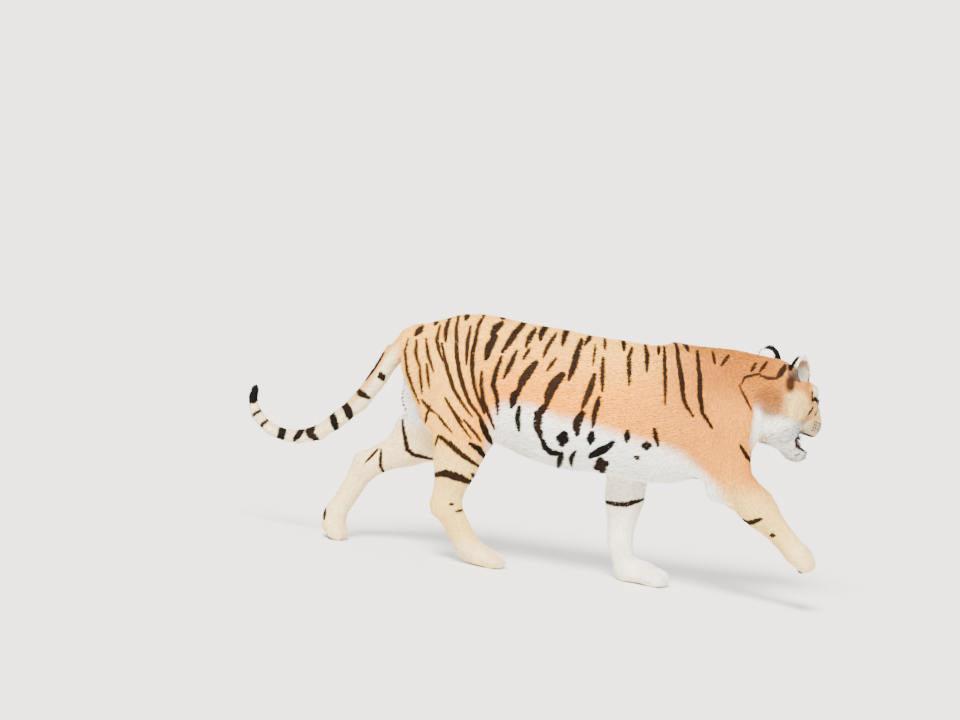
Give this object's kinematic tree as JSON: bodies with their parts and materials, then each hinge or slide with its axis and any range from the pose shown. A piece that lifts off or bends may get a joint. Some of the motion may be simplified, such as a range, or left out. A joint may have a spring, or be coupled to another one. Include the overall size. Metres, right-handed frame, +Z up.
{
  "type": "tiger",
  "caption": "Walking tiger in mid stride, head low and turned to its left, right forepaw lifted, tail curled up at the tip: a still, life-size figure.",
  "frame": {"origin": "on the floor, under the middle of the animal's whole length and width", "axes": "+X the way the animal walks, +Y to its left, +Z up"},
  "size_m": [2.1686, 0.4189, 0.9497],
  "materials": {
    "coat": "short dense fur, orange with dark stripes, white below",
    "eye": "wet gloss, amber iris with a round pupil",
    "tongue": "moist pink",
    "nose": "pink, finely pebbled, slightly moist",
    "lips": "black, slightly moist",
    "whiskers": "stiff white hair",
    "claws": "horn, pale",
    "pads": "dark, rough, dry"
  },
  "bodies": {
    "root": {"head": "coat", "jaw": "coat", "tongue": "tongue", "eye_left": "eye", "eye_right": "eye", "ear_left": "coat", "ear_right": "coat", "neck": "coat", "chest": "coat", "belly": "coat", "rump": "coat", "right_upper_arm": "coat", "right_forearm": "coat", "right_fore_paw": "coat", "left_upper_arm": "coat", "left_forearm": "coat", "left_fore_paw": "coat", "right_thigh": "coat", "right_shank": "coat", "right_hock": "coat", "right_hind_paw": "coat", "left_thigh": "coat", "left_shank": "coat", "left_hock": "coat", "left_hind_paw": "coat", "tail_root": "coat", "tail_middle": "coat", "tail_tip": "coat"}
  },
  "joints": []
}
